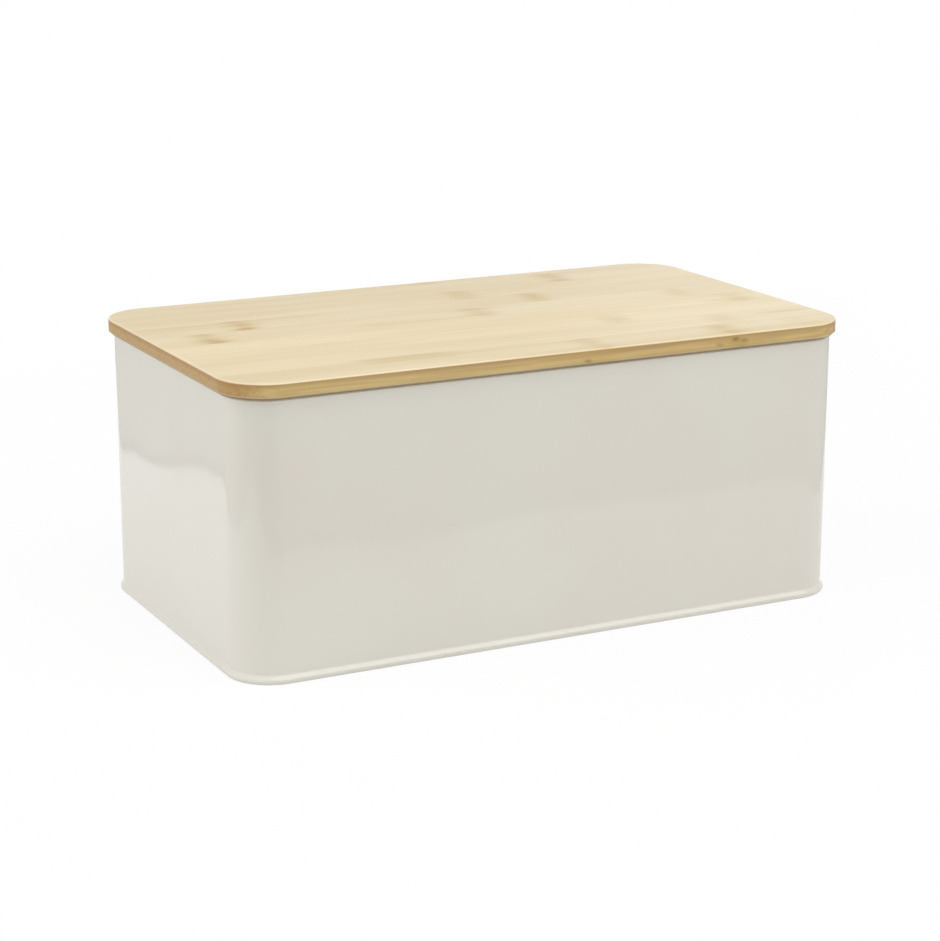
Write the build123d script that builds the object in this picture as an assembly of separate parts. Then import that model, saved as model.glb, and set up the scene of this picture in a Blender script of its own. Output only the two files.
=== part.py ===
from build123d import *
import math
import os

# Bread box: a seamed sheet-steel tin with a lift-off lid of laminated bamboo.
# Millimetres, +Z up. The origin is on the floor under the middle of the box,
# X runs along the length and the front faces -Y.

# Overall sizes
LENGTH = 330.0  # along X, over the lid
DEPTH = 192.0  # along Y, over the lid
HEIGHT = 142.0  # from the floor to the lid's top face

# Lid: a face ply that shows, and a plug ply that drops into the tin
LID_CORNER_RADIUS = 24.0
LID_THICKNESS = 8.0  # face ply
LID_OVERHANG = 2.75  # lid edge past the wall's outer face
LID_EDGE_ROUND = 1.0  # eased top edge
LID_EDGE_BEVEL = 1.6  # lower edge, under-cut towards the tin
PLUG_DEPTH = 5.0  # plug ply
PLUG_CLEARANCE = 1.0  # between the plug and the rolled rim, all round
PLUG_EDGE_BEVEL = 1.0  # leads the plug into the tin
LID_STAVES = 9  # bamboo strips of the face ply, side by side along X
BACK_STAVE = 8.0  # the last of them, ripped to what is left
PLUG_STAVES = 9  # the plug's strips are as wide, apart from the first and last

# Tin sheet and its rolled rim
SHEET = 0.3
FACET_ANGLE = 45.0  # small bends are drawn in straight facets that turn at most this much
SEAT_GAP = 0.2  # between the rim and the lid that rests on it
RIM_RADIUS = 1.5  # outside of the inward curl
RIM_TURN = 285.0  # degrees that the sheet curls through

# Double seam that joins the wall and the base, and stands on the floor
SEAM_GAP = 0.1  # between folded layers
SEAM_HEIGHT = 3.2
SEAM_BULGE_ANGLE = 42.0  # half the angle of the seam's rounded outer face
SEAM_INNER_BEND = 0.3  # inside radii of the two bends at the floor
SEAM_OUTER_BEND = 0.5
HOOK_END_GAP = 0.3  # from a hook's edge to the fold that it reaches into

# Base panel
BASE_RECESS = 3.6  # from the floor to the panel's rim
PANEL_BEND = 0.8  # inside radius where the panel turns down
PANEL_LEDGE = 9.0  # flat band inside the seam
PANEL_STEP = 1.2  # the middle is pressed up by this
PANEL_STEP_ANGLE = 45.0
PANEL_STEP_BEND = 1.0

# Lock seam that closes the wall at the back
LOCK_WIDTH = 5.0
LOCK_JOG_ANGLE = 60.0  # where the right edge steps inwards
LOCK_JOG_BEND = 0.5
LOCK_JOINT_GAP = 0.2  # butt joint in the rim and the foot
LOCK_END_GAP = 2.0  # the fold stops short of the rim and the base

# Worked-out sizes
LAYER = SHEET + SEAM_GAP
FOLD_BEND = (SHEET + 2 * SEAM_GAP) / 2  # inside radius of a fold round one layer
WALL_LENGTH = LENGTH - 2 * LID_OVERHANG
WALL_DEPTH = DEPTH - 2 * LID_OVERHANG
WALL_CORNER_RADIUS = LID_CORNER_RADIUS - LID_OVERHANG
LID_UNDERSIDE = HEIGHT - LID_THICKNESS
RIM_TOP = LID_UNDERSIDE - SEAT_GAP
PLUG_INSET = 2 * RIM_RADIUS + PLUG_CLEARANCE
STAVE_WIDTH = (DEPTH - BACK_STAVE) / (LID_STAVES - 1)
BACK = WALL_DEPTH / 2


def sheet_section(start, heading, moves):
    """Cross-section of folded sheet, followed along its middle from start.

    A move is ("run", length), or ("arc", degrees, inside radius), where positive turns go left.
    A "bend" is an arc that is drawn in straight facets.
    """
    half = SHEET / 2
    x, y = start
    angle = math.radians(heading)
    edges = []

    def side(offset):
        """The point beside the middle line, to the left where offset is positive."""
        return (x - offset * math.sin(angle), y + offset * math.cos(angle))

    edges.append(Line(side(half), side(-half)))
    for kind, amount, *inside in moves:
        begin = side(half), side(-half)
        if kind == "run":
            x += amount * math.cos(angle)
            y += amount * math.sin(angle)
            edges += [Line(a, b) for a, b in zip(begin, (side(half), side(-half)))]
            continue
        radius = math.copysign(inside[0] + half, amount)
        centre = side(radius)
        steps = math.ceil(abs(amount) / FACET_ANGLE) if kind == "bend" else 2
        points = [begin]
        for _ in range(steps):
            angle += math.radians(amount) / steps
            x = centre[0] + radius * math.sin(angle)
            y = centre[1] - radius * math.cos(angle)
            points.append((side(half), side(-half)))
        curve = Polyline if kind == "bend" else ThreePointArc
        edges += [curve(*one_side) for one_side in zip(*points)]
    edges.append(Line(side(half), side(-half)))
    return make_face(edges)


def tin_outline(start_x, end_x):
    """Outside of the wall from start_x on the back, past the right end, front and left end, to end_x."""
    half_x, half_y, r = WALL_LENGTH / 2, WALL_DEPTH / 2, WALL_CORNER_RADIUS
    x, y = half_x - r, half_y - r
    return Wire(
        [
            Line((start_x, half_y), (x, half_y)),
            CenterArc((x, y), r, 90, -90),
            Line((half_x, y), (half_x, -y)),
            CenterArc((x, -y), r, 0, -90),
            Line((x, -half_y), (-x, -half_y)),
            CenterArc((-x, -y), r, -90, -90),
            Line((-half_x, -y), (-half_x, y)),
            CenterArc((-x, y), r, 180, -90),
            Line((-x, half_y), (end_x, half_y)),
        ]
    )


def swept(section, start_x, end_x):
    """Sweeps a section round the tin. Its first axis points out of the wall, its second up."""
    plane = Plane(origin=(start_x, BACK, 0), x_dir=(0, 1, 0), z_dir=(1, 0, 0))
    return sweep(plane * section, path=tin_outline(start_x, end_x))


def body_wall():
    """One sheet: hooked at the foot, curled inwards at the rim and locked to itself at the back."""
    hook_middle = 2 * SEAM_GAP + 1.5 * SHEET
    hook_top = SEAM_HEIGHT - SHEET - FOLD_BEND - HOOK_END_GAP
    fold_middle = SHEET + SEAM_GAP + SHEET + FOLD_BEND
    section = sheet_section(
        (hook_middle, hook_top),
        -90,
        [
            ("run", hook_top - fold_middle),
            ("bend", -180, FOLD_BEND),
            ("run", RIM_TOP - RIM_RADIUS - fold_middle),
            ("bend", RIM_TURN, RIM_RADIUS - SHEET),
        ],
    )
    fold_edge = LOCK_WIDTH / 2
    wall = swept(section, fold_edge + LOCK_JOINT_GAP, fold_edge)
    return close_at_the_back(wall)


def close_at_the_back(wall):
    """Cuts the window for the lock seam and fills it with the two interlocked folds."""
    bottom = BASE_RECESS + SHEET + PANEL_STEP + LOCK_END_GAP
    top = RIM_TOP - 2 * RIM_RADIUS - LOCK_END_GAP
    fold_outside = FOLD_BEND + SHEET
    left_x = LOCK_WIDTH / 2 - fold_outside
    jog_angle = math.radians(LOCK_JOG_ANGLE)
    jog_radius = LOCK_JOG_BEND + SHEET / 2
    jog_bends = 2 * jog_radius * (1 - math.cos(jog_angle))
    jog_run = (3 * LAYER - jog_bends) / math.sin(jog_angle)
    jog_length = 2 * jog_radius * math.sin(jog_angle) + jog_run * math.cos(jog_angle)
    jog_end = LOCK_WIDTH / 2 + LOCK_JOINT_GAP
    right_x = jog_end + jog_length
    middle_y = BACK - SHEET / 2
    inner_run = LOCK_WIDTH - 2 * fold_outside
    left_fold = sheet_section(
        (left_x, middle_y),
        0,
        [("arc", -180, FOLD_BEND), ("run", inner_run)],
    )
    right_fold = sheet_section(
        (right_x, middle_y),
        180,
        [
            ("arc", LOCK_JOG_ANGLE, LOCK_JOG_BEND),
            ("run", jog_run),
            ("arc", -LOCK_JOG_ANGLE, LOCK_JOG_BEND),
            ("run", jog_end + inner_run / 2),
            ("arc", -180, FOLD_BEND),
            ("run", inner_run),
        ],
    )
    window = Box(right_x - left_x, 4 * SHEET, top - bottom, align=(Align.MIN, Align.CENTER, Align.MIN))
    wall -= Pos(left_x, BACK, bottom) * window
    folds = [Pos(0, 0, bottom) * extrude(fold, top - bottom) for fold in (left_fold, right_fold)]
    return wall + folds


def base_panel():
    """Pressed base whose rim folds round the wall's hook, to make the double seam."""
    bulge = math.radians(SEAM_BULGE_ANGLE)
    inner_radius = SEAM_INNER_BEND + SHEET / 2
    outer_radius = SEAM_OUTER_BEND + SHEET / 2
    fold_radius = FOLD_BEND + SHEET / 2
    chuck_middle = -(1.5 * SHEET + SEAM_GAP)
    hook_middle = SEAM_GAP + SHEET / 2
    floor_run = hook_middle - chuck_middle - inner_radius
    floor_run += fold_radius * (1 + math.cos(bulge)) - outer_radius * math.cos(bulge)
    bulge_height = SEAM_HEIGHT - SHEET - (outer_radius + fold_radius) * (1 - math.sin(bulge))
    bulge_radius = bulge_height / (2 * math.sin(bulge)) - SHEET / 2
    fold_middle = SEAM_HEIGHT - SHEET / 2 - fold_radius
    hook_bottom = SHEET + SEAM_GAP + SHEET + FOLD_BEND + HOOK_END_GAP
    panel_middle = BASE_RECESS + SHEET / 2
    panel_radius = PANEL_BEND + SHEET / 2
    chuck_run = panel_middle - panel_radius - inner_radius - SHEET / 2
    step_angle = math.radians(PANEL_STEP_ANGLE)
    step_radius = PANEL_STEP_BEND + SHEET / 2
    step_run = (PANEL_STEP - 2 * step_radius * (1 - math.cos(step_angle))) / math.sin(step_angle)
    step_length = 2 * step_radius * math.sin(step_angle) + step_run * math.cos(step_angle)
    step_edge = chuck_middle - panel_radius - PANEL_LEDGE - step_length
    section = sheet_section(
        (step_edge, panel_middle + PANEL_STEP),
        0,
        [
            ("bend", -PANEL_STEP_ANGLE, PANEL_STEP_BEND),
            ("run", step_run),
            ("bend", PANEL_STEP_ANGLE, PANEL_STEP_BEND),
            ("run", PANEL_LEDGE),
            ("bend", -90, PANEL_BEND),
            ("run", chuck_run),
            ("bend", 90, SEAM_INNER_BEND),
            ("run", floor_run),
            ("bend", 90 - SEAM_BULGE_ANGLE, SEAM_OUTER_BEND),
            ("arc", 2 * SEAM_BULGE_ANGLE, bulge_radius),
            ("bend", 180 - SEAM_BULGE_ANGLE, FOLD_BEND),
            ("run", fold_middle - hook_bottom),
        ],
    )
    middle = RectangleRounded(
        WALL_LENGTH + 2 * step_edge,
        WALL_DEPTH + 2 * step_edge,
        WALL_CORNER_RADIUS + step_edge,
    )
    plate = Pos(0, 0, BASE_RECESS + PANEL_STEP) * extrude(middle, SHEET)
    return swept(section, 0, 0) + plate


def glue_lines(low, first, high, count):
    """Edges of count strips from low to high, with the glue lines one strip apart from first."""
    return [low, *(first + i * STAVE_WIDTH for i in range(count - 1)), high]


def ripped(board, lines):
    """Cuts a board along X at the glue lines, and returns its strips from front to back."""
    box = board.bounding_box()
    strips = []
    for low, high in zip(lines[:-1], lines[1:]):
        slab = Box(box.size.X, high - low, box.size.Z, align=(Align.CENTER, Align.MIN, Align.MIN))
        strips.append(board & Pos(0, low, box.min.Z) * slab)
    return strips


def lid_staves():
    """Face ply of the lid, with eased edges all round."""
    board = extrude(RectangleRounded(LENGTH, DEPTH, LID_CORNER_RADIUS), LID_THICKNESS)
    board = fillet(board.faces().sort_by(Axis.Z)[-1].edges(), LID_EDGE_ROUND)
    board = chamfer(board.faces().sort_by(Axis.Z)[0].edges(), LID_EDGE_BEVEL)
    front = -DEPTH / 2
    lines = glue_lines(front, front + STAVE_WIDTH, DEPTH / 2, LID_STAVES)
    return ripped(Pos(0, 0, LID_UNDERSIDE) * board, lines)


def plug_staves():
    """Plug ply, glued under the face ply, which keeps the lid in place on the tin."""
    length, depth = WALL_LENGTH - 2 * PLUG_INSET, WALL_DEPTH - 2 * PLUG_INSET
    outline = RectangleRounded(length, depth, WALL_CORNER_RADIUS - PLUG_INSET)
    board = extrude(outline, PLUG_DEPTH)
    board = chamfer(board.faces().sort_by(Axis.Z)[0].edges(), PLUG_EDGE_BEVEL)
    first = -STAVE_WIDTH * (PLUG_STAVES - 2) / 2
    lines = glue_lines(-depth / 2, first, depth / 2, PLUG_STAVES)
    return ripped(Pos(0, 0, LID_UNDERSIDE - PLUG_DEPTH) * board, lines)


def main():
    nodes = {"body_wall": body_wall(), "base_panel": base_panel()}
    for name, strips in (("lid_stave", lid_staves()), ("plug_stave", plug_staves())):
        for number, strip in enumerate(strips, 1):
            nodes[f"{name}_{number}"] = strip
    os.makedirs("parts", exist_ok=True)
    for name, shape in nodes.items():
        export_step(shape, f"parts/{name}.step")


main()
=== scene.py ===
import math

import bmesh
import bpy
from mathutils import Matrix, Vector, noise

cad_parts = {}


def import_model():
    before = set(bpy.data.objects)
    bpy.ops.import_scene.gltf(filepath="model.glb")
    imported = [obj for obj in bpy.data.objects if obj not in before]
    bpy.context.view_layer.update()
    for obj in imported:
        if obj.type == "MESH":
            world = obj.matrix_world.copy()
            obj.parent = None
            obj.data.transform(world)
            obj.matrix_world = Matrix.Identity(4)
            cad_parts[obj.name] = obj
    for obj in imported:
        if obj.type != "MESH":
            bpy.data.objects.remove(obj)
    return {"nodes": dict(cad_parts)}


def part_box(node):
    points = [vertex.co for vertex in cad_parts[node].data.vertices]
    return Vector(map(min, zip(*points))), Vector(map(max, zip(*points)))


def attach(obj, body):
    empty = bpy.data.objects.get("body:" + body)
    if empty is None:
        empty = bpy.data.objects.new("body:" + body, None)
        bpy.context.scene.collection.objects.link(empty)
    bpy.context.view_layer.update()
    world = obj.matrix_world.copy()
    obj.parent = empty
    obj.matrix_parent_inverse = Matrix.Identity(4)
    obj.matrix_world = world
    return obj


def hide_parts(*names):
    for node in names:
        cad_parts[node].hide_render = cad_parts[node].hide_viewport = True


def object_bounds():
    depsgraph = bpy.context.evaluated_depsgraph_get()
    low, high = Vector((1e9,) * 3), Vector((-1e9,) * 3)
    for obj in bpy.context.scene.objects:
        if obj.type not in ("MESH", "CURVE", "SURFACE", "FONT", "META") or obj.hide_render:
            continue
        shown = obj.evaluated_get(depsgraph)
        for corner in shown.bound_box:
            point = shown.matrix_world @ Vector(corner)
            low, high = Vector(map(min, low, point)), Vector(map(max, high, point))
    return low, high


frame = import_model()
CAD_LOW, CAD_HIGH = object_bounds()

# Bread box: a cream enamelled tin of seamed sheet steel under a lid of bamboo strips.
# Metres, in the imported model's own frame: X runs along the length and the front faces -Y.
MM = 0.001

# Sizes read from the frame
HALF_LENGTH = CAD_HIGH.x
HALF_DEPTH = CAD_HIGH.y
LID_TOP = CAD_HIGH.z
LID_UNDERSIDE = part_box("lid_stave_1")[0].z

# Lid
LID_CORNER_RADIUS = 24 * MM
LID_OVERHANG = 2.75 * MM
LID_EDGE_ROUND = 1.0 * MM
LID_EDGE_BEVEL = 1.6 * MM

# Tin sheet, its rolled rim and the double seam at its foot
SHEET = 0.3 * MM
SEAT_GAP = 0.2 * MM
RIM_RADIUS = 1.5 * MM
RIM_TURN = 285  # degrees
SEAM_GAP = 0.1 * MM
SEAM_HEIGHT = 3.2 * MM
SEAM_BULGE_ANGLE = 42  # degrees
SEAM_INNER_BEND = 0.3 * MM
SEAM_OUTER_BEND = 0.5 * MM
HOOK_END_GAP = 0.3 * MM

# Enamel fillet over the foot seam
FILLET_DROP = 0.6 * MM
FILLET_RISE = 1.4 * MM
FILLET_REACH = 1.15 * MM
FILLET_HOLLOW = 0.25  # how far its slope sags, as a share of its reach

# Pressed base
BASE_RECESS = 3.6 * MM
PANEL_BEND = 0.8 * MM
PANEL_LEDGE = 9.0 * MM
PANEL_STEP = 1.2 * MM
PANEL_STEP_ANGLE = 45  # degrees
PANEL_STEP_BEND = 1.0 * MM

# Lock seam at the back
LOCK_WIDTH = 5.0 * MM
LOCK_JOG = 1.6 * MM
LOCK_END_GAP = 2.0 * MM
LOCK_END_FADE = 1.0 * MM
LOCK_FOLD_FACE = 0.05 * MM  # width in which the fold's edge drops to the sheet beside it

# Slight waviness of the sheet between its stiff edges
WAVE_HEIGHT = 0.35 * MM
WAVE_LENGTH = (70 * MM, 60 * MM, 60 * MM)
WAVE_FADE = (5 * MM, 30 * MM)  # distances from the rim and the foot
WAVE_CORNER_FADE = 30 * MM

# Worked-out sizes
LAYER = SHEET + SEAM_GAP
FOLD_BEND = SHEET / 2 + SEAM_GAP
FOLD_OUTSIDE = FOLD_BEND + SHEET
RIM_TOP = LID_UNDERSIDE - SEAT_GAP
WALL_HALF_LENGTH = HALF_LENGTH - LID_OVERHANG
WALL_HALF_DEPTH = HALF_DEPTH - LID_OVERHANG
WALL_CORNER_RADIUS = LID_CORNER_RADIUS - LID_OVERHANG
LOCK_EDGE = LOCK_WIDTH / 2
LOCK_DEPTH = 3 * LAYER  # three layers lie behind the outer one
LOCK_BOTTOM = BASE_RECESS + SHEET + PANEL_STEP + LOCK_END_GAP
LOCK_TOP = RIM_TOP - 2 * RIM_RADIUS - LOCK_END_GAP

# Fineness of the meshes
ARC_STEP = 10  # degrees
QUARTER_ROUND = range(0, 91, 15)  # degrees at the points of a small quarter round
RUN_STEP = 5 * MM
CORNER_STEPS = 24
FILLET_STEPS = 8
JOG_STEPS = 7
HOOK_STEPS = 5
SAME_PLACE = 7  # decimals to which two stations count as one
CUT_REACH = 1e-7  # a point this close to a cut lies on it
SMOOTH_ANGLE = math.radians(32)


def smoothstep(low, high, value):
    """0 up to low, 1 from high, and a smooth rise between them."""
    share = min(1.0, max(0.0, (value - low) / (high - low)))
    return share * share * (3 - 2 * share)


def srgb(red, green, blue):
    """A colour given as display values from 0 to 255."""
    values = [channel / 255 for channel in (red, green, blue)]
    linear = [v / 12.92 if v <= 0.04045 else ((v + 0.055) / 1.055) ** 2.4 for v in values]
    return (*linear, 1.0)


# Meshes


def stations(half_x, half_y, radius, back_places=()):
    """Points and outward directions round a rounded rectangle, counter-clockwise seen from above.

    back_places are values of x on the back that get a station of their own.
    """
    flat_x, flat_y = half_x - radius, half_y - radius
    found = []
    for turn, (side_x, side_y) in enumerate(((1, 1), (-1, 1), (-1, -1), (1, -1))):
        centre = Vector((side_x * flat_x, side_y * flat_y))
        for step in range(CORNER_STEPS + 1):
            angle = math.radians(90 * (turn + step / CORNER_STEPS))
            normal = Vector((math.cos(angle), math.sin(angle)))
            found.append((centre + radius * normal, normal))
        begin = centre + radius * normal
        along = Vector((-normal.y, normal.x))
        run = 2 * (flat_y if turn % 2 else flat_x)
        count = round(run / RUN_STEP)
        places = [run * step / count for step in range(1, count)]
        if turn == 0 and back_places:
            near = [flat_x - x for x in back_places]
            places = [p for p in places if not min(near) - RUN_STEP / 2 < p < max(near) + RUN_STEP / 2]
            places = sorted(places + near)
        found += [(begin + along * place, normal) for place in places]
    return found


def folded_sheet(start, heading, moves):
    """Closed outline of folded sheet's section, which is followed along its middle from start.

    A move is ("run", length), or ("arc", degrees, inside radius), where positive turns go left.
    The outline goes out along the left side and comes back along the right side.
    """
    half = SHEET / 2
    x, y = start
    angle = math.radians(heading)
    left, right = [], []

    def mark():
        across = Vector((-math.sin(angle), math.cos(angle))) * half
        left.append(Vector((x, y)) + across)
        right.append(Vector((x, y)) - across)

    mark()
    for kind, amount, *inside in moves:
        if kind == "run":
            steps = max(1, round(amount / RUN_STEP))
            for _ in range(steps):
                x += amount / steps * math.cos(angle)
                y += amount / steps * math.sin(angle)
                mark()
            continue
        radius = math.copysign(inside[0] + half, amount)
        steps = math.ceil(abs(amount) / ARC_STEP)
        centre_x = x - radius * math.sin(angle)
        centre_y = y + radius * math.cos(angle)
        for _ in range(steps):
            angle += math.radians(amount) / steps
            x = centre_x + radius * math.sin(angle)
            y = centre_y - radius * math.cos(angle)
            mark()
    return left + right[::-1]


def swept_mesh(path, section, capped=False, shaped=None):
    """Sweeps a section round closed stations, and closes the section, or caps both of its ends.

    A section point is (out, up) from the path. shaped(point, out, up) adds to out.
    """
    mesh = bmesh.new()
    rings = []
    for point, normal in path:
        ring = []
        for out, up in section:
            extra = shaped(point, out, up) if shaped else 0.0
            place = point + normal * (out + extra)
            ring.append(mesh.verts.new((place.x, place.y, up)))
        rings.append(ring)
    last = len(section) - 1 if capped else len(section)
    for ring, following in zip(rings, rings[1:] + rings[:1]):
        for i in range(last):
            k = (i + 1) % len(section)
            mesh.faces.new((ring[i], following[i], following[k], ring[k]))
    if capped:
        mesh.faces.new([ring[0] for ring in rings])
        mesh.faces.new([ring[-1] for ring in rings])
    bmesh.ops.recalc_face_normals(mesh, faces=mesh.faces)
    return mesh


def piece(name, mesh, body, node, material):
    """Makes the object of a mesh, which rides on a body and may stand for a node."""
    data = bpy.data.meshes.new(name)
    mesh.to_mesh(data)
    mesh.free()
    data.shade_smooth()
    data.set_sharp_from_angle(angle=SMOOTH_ANGLE)
    data.materials.append(material)
    made = bpy.data.objects.new(name, data)
    bpy.context.scene.collection.objects.link(made)
    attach(made, body)
    if node:
        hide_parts(node)


# Tin


def waviness(point, up):
    """How far the sheet waves out at a place on the wall."""
    ends = smoothstep(*WAVE_FADE, up) * smoothstep(*WAVE_FADE, RIM_TOP - up)
    straight_x = WALL_HALF_LENGTH - WALL_CORNER_RADIUS - abs(point.x)
    straight_y = WALL_HALF_DEPTH - WALL_CORNER_RADIUS - abs(point.y)
    sides = smoothstep(0, WAVE_CORNER_FADE, max(straight_x, straight_y))
    place = [value / length for value, length in zip((*point, up), WAVE_LENGTH)]
    return WAVE_HEIGHT * ends * sides * noise.noise(Vector(place))


def lock_seam(point, out, up):
    """How far the folds of the lock seam take the back's faces, as a negative amount inwards."""
    if point.y < 0:
        return 0.0
    above_bottom = smoothstep(LOCK_BOTTOM, LOCK_BOTTOM + LOCK_END_FADE, up)
    share = above_bottom * (1 - smoothstep(LOCK_TOP - LOCK_END_FADE, LOCK_TOP, up))
    jog = 1 - smoothstep(LOCK_EDGE, LOCK_EDGE + LOCK_JOG, point.x)
    if out < -SHEET / 2:
        hook = smoothstep(-LOCK_EDGE, -LOCK_EDGE + FOLD_OUTSIDE, point.x)
        return -LOCK_DEPTH * share * min(jog, hook)
    if point.x > LOCK_EDGE:
        return -LOCK_DEPTH * share * jog
    into_fold = min(FOLD_OUTSIDE, max(0.0, point.x - LOCK_EDGE + FOLD_OUTSIDE))
    return -share * (FOLD_OUTSIDE - math.sqrt(FOLD_OUTSIDE**2 - into_fold**2))


def lock_places():
    """Values of x on the back where the lock seam's folds need stations."""
    fold = [LOCK_EDGE - FOLD_OUTSIDE * (1 - math.sin(math.radians(angle))) for angle in QUARTER_ROUND]
    jog = [LOCK_EDGE + LOCK_JOG * step / JOG_STEPS for step in range(JOG_STEPS + 1)]
    hook = [-LOCK_EDGE + FOLD_OUTSIDE * step / HOOK_STEPS for step in range(HOOK_STEPS + 1)]
    found = {round(x, SAME_PLACE) for x in fold + jog + hook}
    return sorted(found | {LOCK_EDGE + LOCK_FOLD_FACE, 0.0})


def wall_shape(point, out, up):
    """What the waves and the lock seam add to a place on the wall."""
    return waviness(point, up) + lock_seam(point, out, up)


def wall_section():
    """The wall's sheet, from its hook inside the foot seam up to its rolled rim."""
    hook_middle = 2 * SEAM_GAP + 1.5 * SHEET
    hook_top = SEAM_HEIGHT - SHEET - FOLD_BEND - HOOK_END_GAP
    fold_middle = SHEET + SEAM_GAP + SHEET + FOLD_BEND
    moves = [
        ("run", hook_top - fold_middle),
        ("arc", -180, FOLD_BEND),
        ("run", RIM_TOP - RIM_RADIUS - fold_middle),
        ("arc", RIM_TURN, RIM_RADIUS - SHEET),
    ]
    return folded_sheet((hook_middle, hook_top), -90, moves)


def body_wall(material):
    """One sheet: hooked into the foot seam, curled inwards at the rim and locked at the back."""
    path = stations(WALL_HALF_LENGTH, WALL_HALF_DEPTH, WALL_CORNER_RADIUS, lock_places())
    mesh = swept_mesh(path, wall_section(), shaped=wall_shape)
    piece("tin_wall", mesh, "tin", "body_wall", material)


def base_section():
    """The base's sheet, from the step in the panel out to its hook inside the wall's."""
    bulge = math.radians(SEAM_BULGE_ANGLE)
    inner_radius = SEAM_INNER_BEND + SHEET / 2
    outer_radius = SEAM_OUTER_BEND + SHEET / 2
    fold_radius = FOLD_BEND + SHEET / 2
    chuck_middle = -(1.5 * SHEET + SEAM_GAP)
    hook_middle = SEAM_GAP + SHEET / 2
    floor_run = hook_middle - chuck_middle - inner_radius
    floor_run += fold_radius * (1 + math.cos(bulge)) - outer_radius * math.cos(bulge)
    bulge_height = SEAM_HEIGHT - SHEET - (outer_radius + fold_radius) * (1 - math.sin(bulge))
    bulge_radius = bulge_height / (2 * math.sin(bulge)) - SHEET / 2
    fold_middle = SEAM_HEIGHT - SHEET / 2 - fold_radius
    hook_bottom = SHEET + SEAM_GAP + SHEET + FOLD_BEND + HOOK_END_GAP
    panel_middle = BASE_RECESS + SHEET / 2
    panel_radius = PANEL_BEND + SHEET / 2
    chuck_run = panel_middle - panel_radius - inner_radius - SHEET / 2
    step_angle = math.radians(PANEL_STEP_ANGLE)
    step_radius = PANEL_STEP_BEND + SHEET / 2
    step_run = (PANEL_STEP - 2 * step_radius * (1 - math.cos(step_angle))) / math.sin(step_angle)
    step_length = 2 * step_radius * math.sin(step_angle) + step_run * math.cos(step_angle)
    step_edge = chuck_middle - panel_radius - PANEL_LEDGE - step_length
    moves = [
        ("arc", -PANEL_STEP_ANGLE, PANEL_STEP_BEND),
        ("run", step_run),
        ("arc", PANEL_STEP_ANGLE, PANEL_STEP_BEND),
        ("run", PANEL_LEDGE),
        ("arc", -90, PANEL_BEND),
        ("run", chuck_run),
        ("arc", 90, SEAM_INNER_BEND),
        ("run", floor_run),
        ("arc", 90 - SEAM_BULGE_ANGLE, SEAM_OUTER_BEND),
        ("arc", 2 * SEAM_BULGE_ANGLE, bulge_radius),
        ("arc", 180 - SEAM_BULGE_ANGLE, FOLD_BEND),
        ("run", fold_middle - hook_bottom),
    ]
    return folded_sheet((step_edge, panel_middle + PANEL_STEP), 0, moves)


def base_panel(material):
    """Pressed base whose rim folds round the wall's hook, to make the double seam."""
    path = stations(WALL_HALF_LENGTH, WALL_HALF_DEPTH, WALL_CORNER_RADIUS)
    mesh = swept_mesh(path, base_section(), capped=True)
    piece("tin_base", mesh, "tin", "base_panel", material)


def seam_fillet(material):
    """Enamel that fills the notch between the wall and the top of the foot seam."""
    low, high = SEAM_HEIGHT - FILLET_DROP, SEAM_HEIGHT + FILLET_RISE
    section = [(-SHEET / 2, high), (-SHEET / 2, low), (FILLET_REACH, low)]
    for step in range(1, FILLET_STEPS + 1):
        share = step / FILLET_STEPS
        sag = FILLET_HOLLOW * math.sin(math.pi * share)
        section.append((FILLET_REACH * (1 - share - sag * share), low + (high - low) * share))
    path = stations(WALL_HALF_LENGTH, WALL_HALF_DEPTH, WALL_CORNER_RADIUS)
    mesh = swept_mesh(path, section)
    piece("tin_seam_enamel", mesh, "tin", None, material)


# Lid


def lid_board():
    """Whole face ply, rounded along its top edge and under-cut along its lower one."""
    section = []
    for angle in (math.radians(degrees) for degrees in QUARTER_ROUND):
        out = LID_EDGE_ROUND * (math.sin(angle) - 1)
        section.append((out, LID_TOP - LID_EDGE_ROUND * (1 - math.cos(angle))))
    section.append((0, LID_UNDERSIDE + LID_EDGE_BEVEL))
    section.append((-LID_EDGE_BEVEL, LID_UNDERSIDE))
    path = stations(HALF_LENGTH, HALF_DEPTH, LID_CORNER_RADIUS)
    return swept_mesh(path, section, capped=True)


def ripped(board, low, high):
    """The strip of a board between two glue lines along X."""
    strip = board.copy()
    for level, side in ((low, -1), (high, 1)):
        everything = strip.verts[:] + strip.edges[:] + strip.faces[:]
        cut = bmesh.ops.bisect_plane(
            strip,
            geom=everything,
            dist=CUT_REACH,
            plane_co=(0, level, 0),
            plane_no=(0, side, 0),
            clear_outer=True,
        )
        edges = [item for item in cut["geom_cut"] if isinstance(item, bmesh.types.BMEdge)]
        if edges:
            bmesh.ops.contextual_create(strip, geom=edges)
    bmesh.ops.recalc_face_normals(strip, faces=strip.faces)
    return strip


# Materials


class Nodes:
    """A node tree whose nodes are added one call at a time."""

    def __init__(self, tree):
        self.tree = tree

    def feed(self, socket, value):
        """Links a socket to another node's output, or sets it to a plain value."""
        if isinstance(value, bpy.types.NodeSocket):
            self.tree.links.new(value, socket)
        else:
            socket.default_value = value

    def add(self, kind, inputs, output=0, **settings):
        """Adds one node and returns one of its outputs."""
        node = self.tree.nodes.new(kind)
        for key, value in settings.items():
            setattr(node, key, value)
        for key, value in inputs.items():
            self.feed(node.inputs[key], value)
        return node.outputs[output]

    def math(self, operation, *values):
        return self.add("ShaderNodeMath", dict(enumerate(values)), operation=operation)

    def product(self, first, *others):
        for other in others:
            first = self.math("MULTIPLY", first, other)
        return first

    def ray(self, first, *others):
        """1 for rays of any of the named kinds."""
        node = self.tree.nodes.new("ShaderNodeLightPath")
        total = node.outputs[f"Is {first} Ray"]
        for other in others:
            total = self.math("MAXIMUM", total, node.outputs[f"Is {other} Ray"])
        return total


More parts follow.
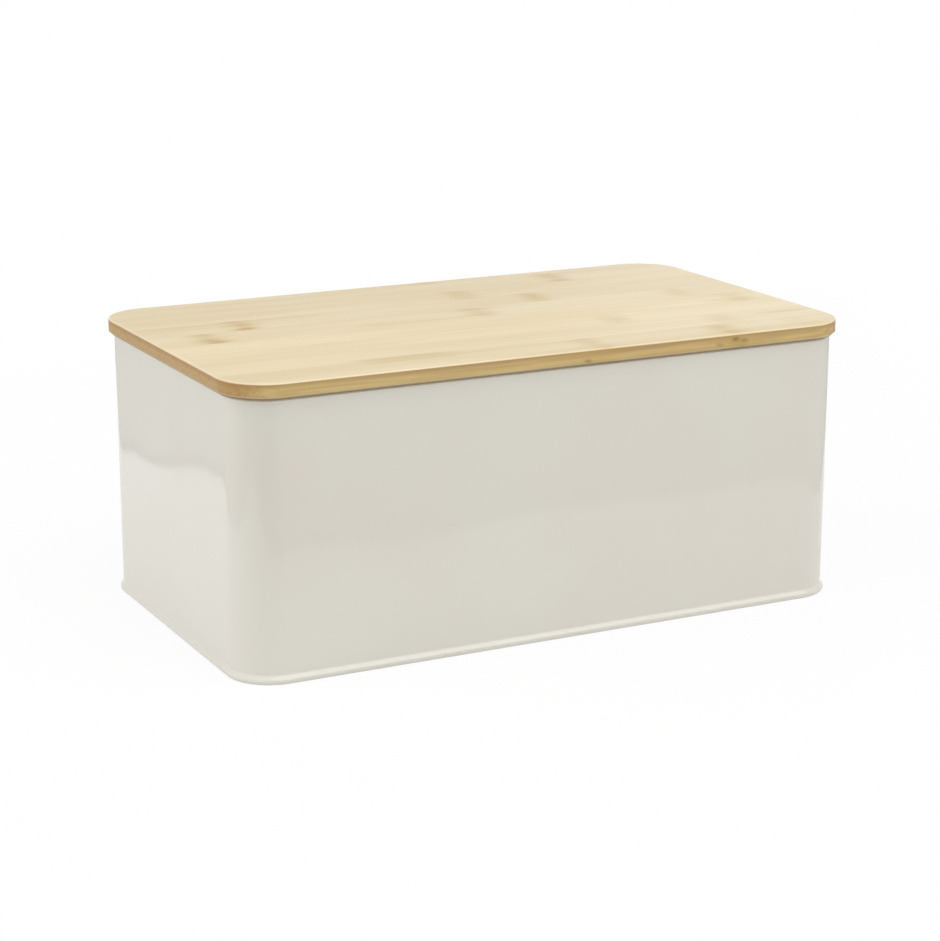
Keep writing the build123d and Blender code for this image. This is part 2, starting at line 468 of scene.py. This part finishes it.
class Shader(Nodes):
    """A material with one principled surface."""

    def __init__(self, name):
        self.material = bpy.data.materials.new(name)
        self.material.use_nodes = True
        super().__init__(self.material.node_tree)
        self.surface = self.tree.nodes["Principled BSDF"]
        coordinates = self.tree.nodes.new("ShaderNodeTexCoord")
        self.place = coordinates.outputs["Object"]
        self.normal = coordinates.outputs["Normal"]

    def axes(self, vector):
        """The three coordinates of a vector."""
        node = self.tree.nodes.new("ShaderNodeSeparateXYZ")
        self.tree.links.new(vector, node.inputs[0])
        return node.outputs

    def distance(self, value, place):
        """How far a value lies from a place on its axis."""
        return self.math("ABSOLUTE", self.math("SUBTRACT", value, place))

    def step(self, value, low, high, start=0.0, end=1.0):
        """Goes smoothly from start to end as the value goes from low to high."""
        inputs = {"Value": value, "From Min": low, "From Max": high, "To Min": start, "To Max": end}
        return self.add("ShaderNodeMapRange", inputs, interpolation_type="SMOOTHSTEP")

    def noise(self, pitch, shift=(0, 0, 0), detail=2.0):
        """Noise from 0 to 1, whose grains are about pitch long on each axis."""
        scale = [1 / length for length in pitch]
        inputs = {"Vector": self.place, "Location": shift, "Scale": scale}
        vector = self.add("ShaderNodeMapping", inputs)
        inputs = {"Vector": vector, "Scale": 1.0, "Detail": detail}
        return self.add("ShaderNodeTexNoise", inputs, output="Fac")

    def mix(self, share, first, second):
        inputs = {0: share, 6: first, 7: second}
        return self.add("ShaderNodeMix", inputs, output=2, data_type="RGBA")

    def bump(self, height, depth, strength):
        inputs = {"Height": height, "Distance": depth, "Strength": strength}
        self.feed(self.surface.inputs["Normal"], self.add("ShaderNodeBump", inputs))

    def set(self, **sockets):
        """Feeds the surface's own sockets, where a name's underscores stand for spaces."""
        for key, value in sockets.items():
            self.feed(self.surface.inputs[key.replace("_", " ")], value)
        return self.material


# In both materials a name that ends in STEP holds what Shader.step takes after its value.
CREAM = srgb(214, 211, 201)
CREAM_DEEP = srgb(213, 209, 199)
CLOUD_PITCH = (90 * MM, 90 * MM, 90 * MM)
CLOUD_STEP = (0.35, 0.65)
PEEL_PITCH = (1.8 * MM, 1.8 * MM, 1.8 * MM)
PEEL_DEPTH = 0.015 * MM
PEEL_STRENGTH = 0.3
ENAMEL_ROUGHNESS_STEP = (0.3, 0.7, 0.06, 0.09)
ENAMEL_SPECULAR = 0.7


def enamel():
    """Glossy cream stove enamel with a faint orange peel."""
    paint = Shader("cream_enamel")
    cloud = paint.noise(CLOUD_PITCH)
    peel = paint.noise(PEEL_PITCH, detail=1.0)
    paint.bump(peel, PEEL_DEPTH, PEEL_STRENGTH)
    return paint.set(
        Base_Color=paint.mix(paint.step(cloud, *CLOUD_STEP), CREAM, CREAM_DEEP),
        Roughness=paint.step(cloud, *ENAMEL_ROUGHNESS_STEP),
        Specular_IOR_Level=ENAMEL_SPECULAR,
    )


# Bamboo colours, of which each strip scales the first two
BAMBOO_PALE = (214, 197, 159)
BAMBOO_MID = (206, 186, 142)
FIBRE_BROWN = srgb(176, 144, 84)
NODE_OCHRE = srgb(184, 158, 86)
NODE_BROWN = srgb(172, 122, 62)
# Painted highlight along the rounded top arris of each strip
PAINTED_ARRIS_HIGHLIGHT = srgb(250, 232, 200)
# Colours of the strips' sides, which carry painted shade as well as the wood's streaks
EDGE_PALE = srgb(196, 165, 97)
EDGE_DEEP = srgb(148, 108, 42)
# Painted shade in the under-cut bevel below the lid's edge
PAINTED_UNDER_CUT_SHADE = srgb(98, 72, 34)
END_BROWN = srgb(150, 104, 52)
FLECK_BROWN = srgb(104, 70, 30)

# Lengths of the bamboo's noises, along the fibres and across them
BROAD_PITCH = (140 * MM, 16 * MM, 16 * MM)
FIBRE_PITCH = (70 * MM, 1.3 * MM, 1.3 * MM)
DASH_PITCH = (22 * MM, 0.4 * MM, 0.4 * MM)
FEATHER_PITCH = (30 * MM, 1.6 * MM, 1.6 * MM)
PATCH_PITCH = (100 * MM, 9 * MM, 9 * MM)
GRAIN_PITCH = (60 * MM, 2 * MM, 2 * MM)
STRIP_SHIFT = (3.7, 5.3, 2.9)  # how far the noises move from one strip to the next

# Face of a strip
BROAD_STEP = (0.25, 0.75)
FIBRE_STEP = (0.4, 0.75, 0, 0.06)
DASH_STEP = (0.55, 0.75, 0, 0.06)
GRAIN_DEPTH = 0.05 * MM
GRAIN_STRENGTH = 0.3
BAMBOO_ROUGHNESS_STEP = (0.3, 0.7, 0.33, 0.4)
BAMBOO_SPECULAR = 0.5

# Sides of a strip, whose colours come in by height, by noise and by the direction of the surface: painted
# shade makes the upright sides darker and browner than the top, darker towards their top, with the wood's
# fibre streaks in it
EDGE_HEIGHT_STEP = (LID_UNDERSIDE + 4.4 * MM, LID_TOP - 0.96 * MM, 0, 0.8)
EDGE_GRAIN_STEP = (0.4, 0.65, 0, 0.4)
EDGE_FIBRE_STEP = (0.45, 0.7, 0, 0.45)
EDGE_SLOPE_STEP = (0.05, 0.4, 0.75, 0)
END_GRAIN_LEVELS = (0.3, 0.9)
# Where the painted highlight lies on the arris
ARRIS_SIDE_STEP = (0.1, 0.5)
ARRIS_TOP_STEP = (0.93, 0.995, 0.4, 0)
# Where the painted shade lies in the under-cut, darkest near its foot
UNDER_CUT_SIDE_STEP = (-0.6, -0.2, 1, 0)
UNDER_CUT_FLAT_STEP = (-0.97, -0.85)
UNDER_CUT_HEIGHT_STEP = (LID_UNDERSIDE + 0.2 * LID_EDGE_BEVEL, LID_UNDERSIDE + LID_EDGE_BEVEL, 0.8, 0.1)

# Nodes, streaks, glue lines and flecks
NODE_SWAY = 16 * MM
HALO_REACH = (1 * MM, 13 * MM)
HALO_PATCH_STEP = (0.32, 0.62, 0.4, 1)
CORE_REACH = 7 * MM
CORE_PATCH_STEP = (0.42, 0.6, 0.3, 1)
STREAK_CORE = 0.2  # share of a streak's width that has its full colour
STREAK_TAIL = 12 * MM
STREAK_FADE = 6 * MM
STREAK_FIBRE_STEP = (0.3, 0.6, 0.4, 1)
GLUE_STEP = (0.1 * MM, 0.4 * MM, 0.45, 0)
GLUE_PATCH_STEP = (0.4, 0.65, 0.1, 1)
FLECK_SWAY = 6 * MM
FLECK_LENGTH = 3.5 * MM
FLECK_HEIGHT_STEP = (0.2 * MM, 1.5 * MM, 1, 0)


class Bamboo(Shader):
    """A planed bamboo strip, with its fibres along X. Each method from face on paints one kind of mark."""

    def __init__(self, name, number):
        super().__init__(name)
        shift = [number * amount for amount in STRIP_SHIFT]
        self.x, self.y, self.z = self.axes(self.place)
        self.normal_x, _, self.normal_z = self.axes(self.normal)
        self.broad = self.noise(BROAD_PITCH, shift)
        self.fibre = self.noise(FIBRE_PITCH, shift, detail=3.0)
        self.dash = self.noise(DASH_PITCH, shift, detail=1.0)
        self.feather = self.noise(FEATHER_PITCH, shift)
        self.patchy = self.noise(PATCH_PITCH, shift)
        self.grain = self.noise(GRAIN_PITCH, shift)

    def swaying(self, value, place, sway):
        """How far a value lies from a place that sways from fibre to fibre."""
        offset = self.math("MULTIPLY_ADD", self.feather, sway, -sway / 2 - place)
        return self.math("ABSOLUTE", self.math("ADD", value, offset))

    def face(self, tone):
        """Broad soft bands, and fibres in them. tone scales the colours."""
        pale, mid = (srgb(*(channel * tone for channel in colour)) for colour in (BAMBOO_PALE, BAMBOO_MID))
        colour = self.mix(self.step(self.broad, *BROAD_STEP), pale, mid)
        colour = self.mix(self.step(self.fibre, *FIBRE_STEP), colour, FIBRE_BROWN)
        return self.mix(self.step(self.dash, *DASH_STEP), colour, FIBRE_BROWN)

    def edge(self, colour, end_shade):
        """Painted shade that makes the upright sides darker than the top, streaked along the fibres, with
        browner end grain.
        """
        side = self.mix(self.step(self.z, *EDGE_HEIGHT_STEP), EDGE_PALE, EDGE_DEEP)
        side = self.mix(self.step(self.grain, *EDGE_GRAIN_STEP), side, EDGE_DEEP)
        side = self.mix(self.step(self.fibre, *EDGE_FIBRE_STEP), side, EDGE_DEEP)
        slope = self.math("ABSOLUTE", self.normal_z)
        colour = self.mix(self.step(slope, *EDGE_SLOPE_STEP), colour, side)
        lengthwise = self.math("ABSOLUTE", self.normal_x)
        return self.mix(self.step(lengthwise, *END_GRAIN_LEVELS, 0, end_shade), colour, END_BROWN)

    def node(self, colour, node_x, strength, brown):
        """Mark where the cane had a node: an ochre blotch, feathered along the fibres, and a brown core."""
        away = self.swaying(self.x, node_x, NODE_SWAY)
        halo = self.step(away, *HALO_REACH, strength, 0)
        halo = self.product(halo, self.step(self.patchy, *HALO_PATCH_STEP))
        core = self.step(away, 0, CORE_REACH, brown, 0)
        core = self.product(core, self.step(self.patchy, *CORE_PATCH_STEP))
        return self.mix(core, self.mix(halo, colour, NODE_OCHRE), NODE_BROWN)

    def streak(self, colour, first, last, streak_y, width, strength):
        """Soft ochre line along the fibres, from one x to another."""
        across = self.swaying(self.y, streak_y, width)
        mask = self.product(
            self.step(across, STREAK_CORE * width, width, strength, 0),
            self.step(self.x, first - STREAK_TAIL, first + STREAK_FADE),
            self.step(self.x, last - STREAK_FADE, last + STREAK_TAIL, 1, 0),
            self.step(self.fibre, *STREAK_FIBRE_STEP),
        )
        return self.mix(mask, colour, NODE_OCHRE)

    def joint(self, colour, joint_y):
        """Glue line to the next strip, clearer in some places than in others."""
        line = self.step(self.distance(self.y, joint_y), *GLUE_STEP)
        line = self.product(line, self.step(self.patchy, *GLUE_PATCH_STEP))
        return self.mix(line, colour, FIBRE_BROWN)

    def fleck(self, colour, fleck_x, fleck_z, strength):
        """Small brown fleck in the side, drawn out along the fibres."""
        mask = self.product(
            self.step(self.swaying(self.x, fleck_x, FLECK_SWAY), 0, FLECK_LENGTH, strength, 0),
            self.step(self.distance(self.z, fleck_z), *FLECK_HEIGHT_STEP),
        )
        return self.mix(mask, colour, FLECK_BROWN)

    def corners(self, colour):
        """Painted highlight on the rounded arris over the side, and painted shade on the under-cut below
        it.
        """
        arris = self.product(
            self.step(self.normal_z, *ARRIS_SIDE_STEP),
            self.step(self.normal_z, *ARRIS_TOP_STEP),
        )
        painted_under_cut_shade = self.product(
            self.step(self.normal_z, *UNDER_CUT_SIDE_STEP),
            self.step(self.normal_z, *UNDER_CUT_FLAT_STEP),
            self.step(self.z, *UNDER_CUT_HEIGHT_STEP),
        )
        return self.mix(painted_under_cut_shade, self.mix(arris, colour, PAINTED_ARRIS_HIGHLIGHT), PAINTED_UNDER_CUT_SHADE)


def bamboo(name, number, joints, tone, end_shade, nodes=(), streaks=(), flecks=()):
    """Material of one strip. joints are the values of y where it is glued to its neighbours."""
    strip = Bamboo(name, number)
    colour = strip.edge(strip.face(tone), end_shade)
    for node in nodes:
        colour = strip.node(colour, *node)
    for streak in streaks:
        colour = strip.streak(colour, *streak)
    for joint in joints:
        colour = strip.joint(colour, joint)
    for fleck in flecks:
        colour = strip.fleck(colour, *fleck)
    strip.bump(strip.math("ADD", strip.fibre, strip.dash), GRAIN_DEPTH, GRAIN_STRENGTH)
    return strip.set(
        Base_Color=strip.corners(colour),
        Roughness=strip.step(strip.fibre, *BAMBOO_ROUGHNESS_STEP),
        Specular_IOR_Level=BAMBOO_SPECULAR,
    )


# The lid's strips from the front. A node is (x, strength, brown), a streak is
# (first x, last x, y, width, strength), and a fleck in the front edge is (x, z, strength).
LID_STRIPS = [
    {
        "tone": 1.00,
        "end_shade": 0.5,
        "nodes": [(0.021, 0.3, 0.2), (0.096, 0.5, 0.3), (0.141, 0.2, 0.0)],
        "streaks": [(-0.088, -0.05, -0.0765, 0.005, 0.5), (-0.045, 0.025, -0.0755, 0.003, 0.25)],
        "flecks": [
            (0.013, LID_TOP - 5.6 * MM, 0.45),
            (0.086, LID_TOP - 4.8 * MM, 0.3),
            (0.0955, LID_TOP - 2.8 * MM, 0.6),
            (0.1005, LID_TOP - 3.8 * MM, 0.4),
        ],
    },
    {
        "tone": 1.01,
        "end_shade": 0.4,
        "nodes": [(0.109, 0.35, 0.0)],
        "streaks": [(-0.092, -0.05, -0.0715, 0.005, 0.65), (0.137, 0.161, -0.059, 0.004, 0.5)],
    },
    {
        "tone": 1.02,
        "end_shade": 0.4,
        "nodes": [(0.060, 0.5, 0.0)],
        "streaks": [(-0.081, -0.03, -0.053, 0.005, 0.2)],
    },
    {
        "tone": 1.02,
        "end_shade": 0.4,
        "nodes": [(0.147, 0.5, 0.0)],
        "streaks": [(0.13, 0.15, -0.02, 0.006, 0.4)],
    },
    {
        "tone": 1.00,
        "end_shade": 0.4,
        "nodes": [(-0.138, 0.75, 0.6), (0.008, 0.55, 0.1), (0.126, 0.25, 0.1)],
        "streaks": [(-0.057, 0.006, 0.002, 0.005, 0.5)],
    },
    {
        "tone": 0.99,
        "end_shade": 0.4,
        "nodes": [(-0.113, 0.9, 0.7), (0.052, 0.5, 0.3)],
        "streaks": [(-0.157, -0.07, 0.039, 0.003, 0.3)],
    },
    {"tone": 0.99, "end_shade": 0.4, "nodes": [(0.020, 0.6, 0.0)]},
    {
        "tone": 0.98,
        "end_shade": 0.4,
        "nodes": [(0.088, 0.6, 0.4)],
        "streaks": [(-0.165, -0.105, 0.074, 0.02, 0.15)],
    },
    {"tone": 0.98, "end_shade": 0.4, "nodes": [(0.018, 0.5, 0.3)]},
]


def lid():
    """Strips of the face ply, cut from one board."""
    board = lid_board()
    for number, looks in enumerate(LID_STRIPS, 1):
        node = f"lid_stave_{number}"
        low, high = (corner.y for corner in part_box(node))
        joints = [y for y in (low, high) if abs(y) < HALF_DEPTH - MM]
        material = bamboo(f"bamboo_lid_{number}", number, joints, **looks)
        piece(f"lid_strip_{number}", ripped(board, low, high), "lid", node, material)
    board.free()


PLUG_NODES = (-0.09, 0.05, 0.12, -0.04, 0.0, -0.13, 0.08, 0.14, -0.06)  # x of the node in each strip
PLUG_NODE_LOOK = (0.4, 0.2)  # strength and brown
PLUG_TONES = (0.96, 0.98, 1.0)
PLUG_END_SHADE = 0.15
PLUG_FIRST = 20  # added to a strip's number, so that its noises differ from the lid's


def plug():
    """Strips of the plug ply, which keep their own meshes."""
    for number, node_x in enumerate(PLUG_NODES, 1):
        node = f"plug_stave_{number}"
        joints = [corner.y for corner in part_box(node)]
        tone = PLUG_TONES[number % len(PLUG_TONES)]
        nodes = [(node_x, *PLUG_NODE_LOOK)]
        material = bamboo(f"bamboo_plug_{number}", PLUG_FIRST + number, joints, tone, PLUG_END_SHADE, nodes)
        data = frame["nodes"][node].data
        data.materials.clear()
        data.materials.append(material)


# Stage

CAMERA_PLACE = (-0.54792, -1.07706, 0.38298)
CAMERA_YAW = -26.92  # degrees
CAMERA_PITCH = 14.88  # degrees
CAMERA_CLIP = 0.05
FOCAL_PIXELS = 2450.2
PICTURE_PIXELS = 941  # the picture's longer side
SENSOR = 36.0  # millimetres


def camera():
    """Sees the box from the front left, a little above it."""
    data = bpy.data.cameras.new("camera")
    data.sensor_width = SENSOR
    data.lens = SENSOR * FOCAL_PIXELS / PICTURE_PIXELS
    data.clip_start = CAMERA_CLIP
    made = bpy.data.objects.new("camera", data)
    yaw, pitch = math.radians(CAMERA_YAW), math.radians(CAMERA_PITCH)
    level = math.cos(pitch)
    ahead = Vector((-math.sin(yaw) * level, math.cos(yaw) * level, -math.sin(pitch)))
    made.location = CAMERA_PLACE
    made.rotation_mode = "QUATERNION"
    made.rotation_quaternion = ahead.to_track_quat("-Z", "Y")
    bpy.context.scene.collection.objects.link(made)
    bpy.context.scene.camera = made


WHITE = (1.0, 1.0, 1.0, 1.0)
SKY_LEVEL = 0.5


def world():
    """Even light from all round, which is seen as white."""
    made = bpy.data.worlds.new("studio")
    made.use_nodes = True
    sky = Nodes(made.node_tree)
    light = sky.add("ShaderNodeBackground", {"Strength": SKY_LEVEL, "Color": WHITE})
    white = sky.add("ShaderNodeBackground", {"Color": WHITE})
    seen = sky.ray("Camera", "Glossy", "Transmission")
    both = sky.add("ShaderNodeMixShader", {0: seen, 1: light, 2: white})
    sky.feed(sky.tree.nodes["World Output"].inputs["Surface"], both)
    bpy.context.scene.world = made


# Floor, and what the paint mirrors in it: a painted reflection of a white board under the box and of a
# dimmer part of the room, drawn into the floor's glow that only mirrored rays see
FLOOR_SIZE = 40.0
FLOOR_COLOUR = (0.85, 0.85, 0.85, 1.0)
FLOOR_ROUGHNESS = 0.8
FLOOR_GLOW = 0.9  # share of plain white that the camera sees in the floor near the box
SHADOW_FADE = (-0.1, 0.1)  # distances past the board over which the shadow fades
BOARD_HALF_X = 0.391
BOARD_HALF_Y = 0.445
BOARD_MIDDLE_Y = 0.16
BOARD_LEAN = 0.41  # how far its ends lean to the right, for each metre towards the back
BOARD_EDGE = 0.012
BOARD_EDGE_END = 3 * BOARD_EDGE
BEYOND_LOSS = 0.4  # share of the light that the paint loses past the board
EDGE_LOSS = 0.2  # and what it loses more along the board's edge
# Painted reflection: the mirrored glow is darkest round this place
DARK_PLACE = (-0.8, -0.85, 0.0)  # the room is darkest here, left of the front
DARK_REACH = 1.3
DARK_LOSS = 1.25  # in the middle of the dark part, where all losses together stop at 1


def past_board(paper):
    """How far a place on the floor lies past the board's nearest edge, negative on the board."""
    x, y, _ = paper.axes(paper.place)
    leaning_x = paper.math("MULTIPLY_ADD", y, -BOARD_LEAN, x)
    past_x = paper.math("SUBTRACT", paper.math("ABSOLUTE", leaning_x), BOARD_HALF_X)
    past_y = paper.math("SUBTRACT", paper.distance(y, BOARD_MIDDLE_Y), BOARD_HALF_Y)
    return paper.math("MAXIMUM", past_x, past_y)


def mirror_loss(paper, past):
    """Share of the light that a mirrored place on the floor loses."""
    edge = paper.product(
        paper.step(past, 0, BOARD_EDGE),
        paper.step(past, BOARD_EDGE, BOARD_EDGE_END, EDGE_LOSS, 0),
    )
    beyond = paper.step(past, 0, BOARD_EDGE, 0, BEYOND_LOSS)
    ends = {0: paper.place, 1: DARK_PLACE}
    away = paper.add("ShaderNodeVectorMath", ends, "Value", operation="DISTANCE")
    dark = paper.step(away, 0, DARK_REACH, DARK_LOSS, 0)
    loss = paper.math("ADD", paper.math("ADD", edge, beyond), dark)
    return paper.math("MINIMUM", loss, 1.0)


def floor_white():
    """Matt white that takes the box's shadow, and glows where it is seen far off or mirrored."""
    paper = Shader("floor_white")
    matt = paper.surface.outputs[0]
    past = past_board(paper)
    mirrored = paper.ray("Glossy", "Transmission")
    level = paper.math("SUBTRACT", 1.0, paper.product(mirror_loss(paper, past), mirrored))
    glow = paper.add("ShaderNodeEmission", {"Strength": level})
    shown = paper.product(paper.ray("Camera"), paper.step(past, *SHADOW_FADE, FLOOR_GLOW, 1))
    share = paper.math("MAXIMUM", mirrored, shown)
    both = paper.add("ShaderNodeMixShader", {0: share, 1: matt, 2: glow})
    paper.feed(paper.tree.nodes["Material Output"].inputs["Surface"], both)
    return paper.set(Base_Color=FLOOR_COLOUR, Roughness=FLOOR_ROUGHNESS)


def floor():
    """White floor under the box, which shows its soft shadow."""
    mesh = bmesh.new()
    bmesh.ops.create_grid(mesh, x_segments=1, y_segments=1, size=FLOOR_SIZE / 2)
    data = bpy.data.meshes.new("floor")
    mesh.to_mesh(data)
    mesh.free()
    data.materials.append(floor_white())
    made = bpy.data.objects.new("floor", data)
    bpy.context.scene.collection.objects.link(made)


BOX_MIDDLE = (0, 0, 0.07)
SHEEN_AIM = (0.1, 0, LID_TOP)


def lamp(name, place, aim, size, power, mirrored=True):
    """A square soft box that points at a place."""
    data = bpy.data.lights.new(name, "AREA")
    data.size = size
    data.energy = power
    made = bpy.data.objects.new(name, data)
    made.visible_camera = False
    made.visible_glossy = mirrored
    made.location = place
    made.rotation_mode = "QUATERNION"
    made.rotation_quaternion = (Vector(aim) - Vector(place)).to_track_quat("-Z", "Y")
    bpy.context.scene.collection.objects.link(made)


def studio():
    """Camera, light and floor."""
    bpy.context.scene.view_settings.view_transform = "Standard"
    camera()
    world()
    floor()
    lamp("key", place=(0.5, -1.3, 2.0), aim=BOX_MIDDLE, size=2.6, power=39)
    lamp("side", place=(-2.0, 0.5, 1.3), aim=BOX_MIDDLE, size=2.0, power=27, mirrored=False)
    lamp("sheen", place=(1.5, 1.5, 0.6), aim=SHEEN_AIM, size=1.0, power=0.6)
    lamp("back", place=(1.1, 1.8, 0.4), aim=BOX_MIDDLE, size=0.7, power=8, mirrored=False)


cream = enamel()
body_wall(cream)
base_panel(cream)
seam_fillet(cream)
lid()
plug()
studio()
